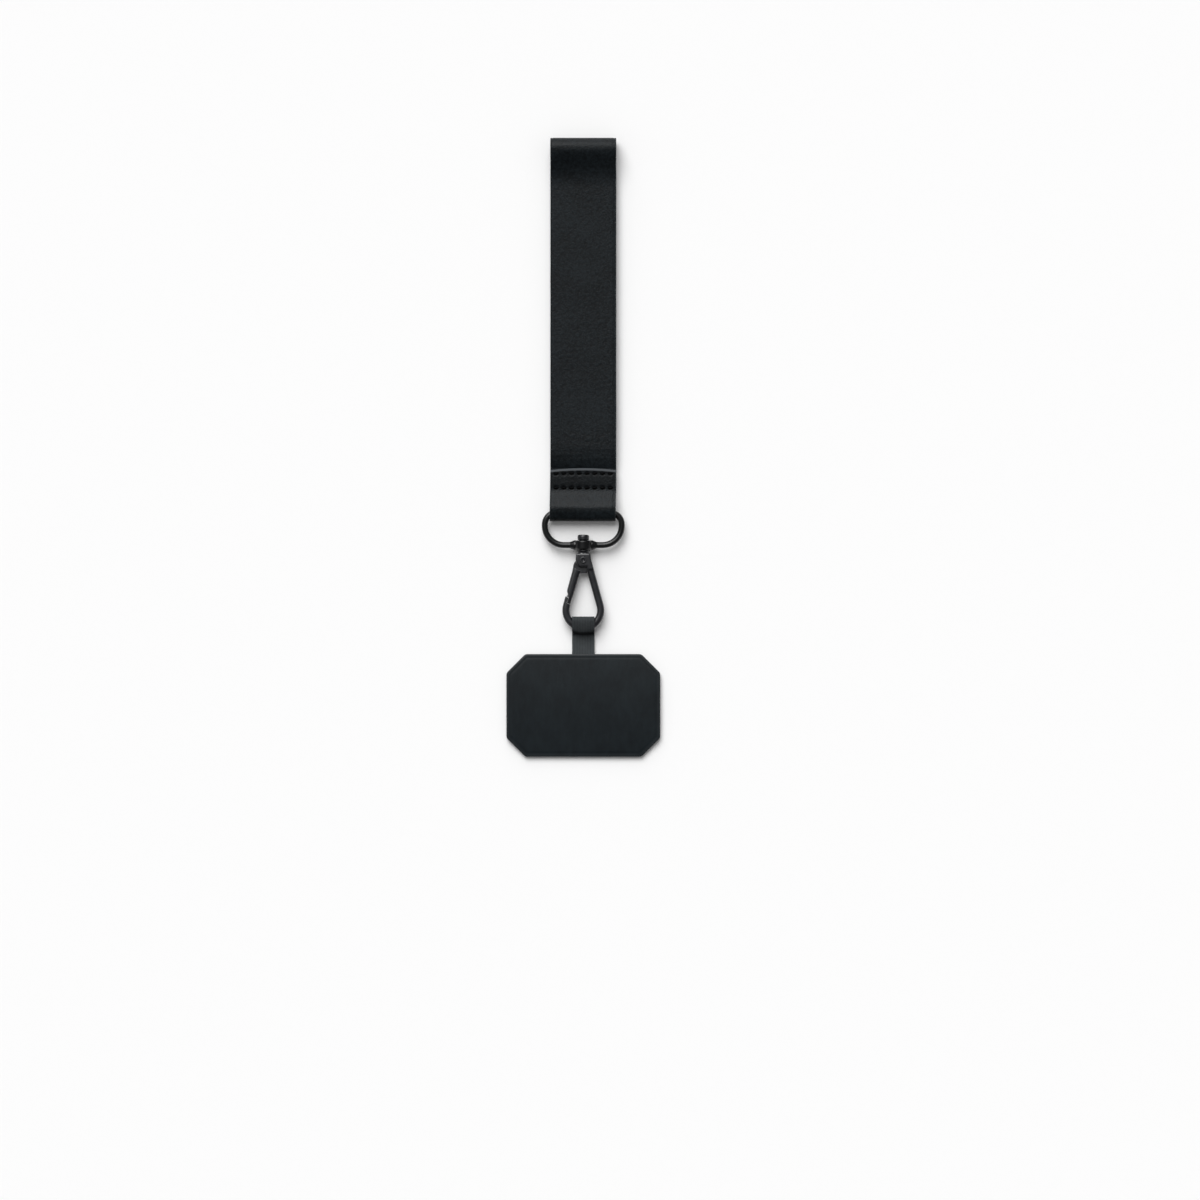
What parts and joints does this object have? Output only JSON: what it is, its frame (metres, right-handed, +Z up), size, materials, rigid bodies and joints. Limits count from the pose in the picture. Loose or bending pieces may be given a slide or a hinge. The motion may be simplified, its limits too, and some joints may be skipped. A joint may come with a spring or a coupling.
{
  "type": "wrist lanyard",
  "caption": "Wrist lanyard: a flat strap folded and sewn around a metal ring, a swivelling snap hook, and a thin chamfered tab on a short woven tape.",
  "frame": {"origin": "centre of the lanyard's box, on the plane that it lies on", "axes": "+Y along the lanyard towards the strap's top fold, +X across the strap, +Z up from the plane towards the camera of the picture"},
  "size_m": [0.0596, 0.2398, 0.008],
  "materials": {
    "strap_leather": "matt, fine pebble grain",
    "seam_thread": "matt twisted thread",
    "satin_black_metal": "satin black coat on cast metal",
    "rivet_metal": "satin black, worn at the rim",
    "spring_steel": "bright drawn wire",
    "woven_tape": "fine lengthwise ribs, matt",
    "pad_sheet": "smooth matt"
  },
  "bodies": {
    "strap": {"wrist_strap": "strap_leather", "seam_thread_lower": "seam_thread", "seam_thread_upper": "seam_thread"},
    "ring": {"swivel_ring": "satin_black_metal"},
    "hook": {"hook_body": "satin_black_metal", "gate_rivet": "rivet_metal", "gate_spring": "spring_steel"},
    "gate": {"gate_lever": "satin_black_metal"},
    "tab": {"tether_tape": "woven_tape", "pad_back_sheet": "pad_sheet", "pad_front_sheet": "pad_sheet"}
  },
  "joints": [
    {"name": "ring_swing", "type": "hinge", "parent": "strap", "child": "ring", "pos_m": [0, -0.02524, 0.0034], "axis": [-1, 0, 0], "range_deg": [-120, 120]},
    {"name": "hook_swivel", "type": "hinge", "parent": "ring", "child": "hook", "pos_m": [0, -0.03784, 0.0034], "axis": [0, -1, 0], "continuous": true},
    {"name": "gate_hinge", "type": "hinge", "parent": "hook", "child": "gate", "pos_m": [0, -0.04366, 0.0034], "axis": [0, 0, 1], "range_deg": [0, 22], "stiffness_Nm_per_rad": 0.004, "springref_deg": -34.38, "deforming": ["gate_spring"]},
    {"name": "tab_swing", "type": "hinge", "parent": "hook", "child": "tab", "pos_m": [0, -0.06981, 0.0034], "axis": [-1, 0, 0], "range_deg": [-90, 90], "deforming": ["tether_tape"]}
  ]
}
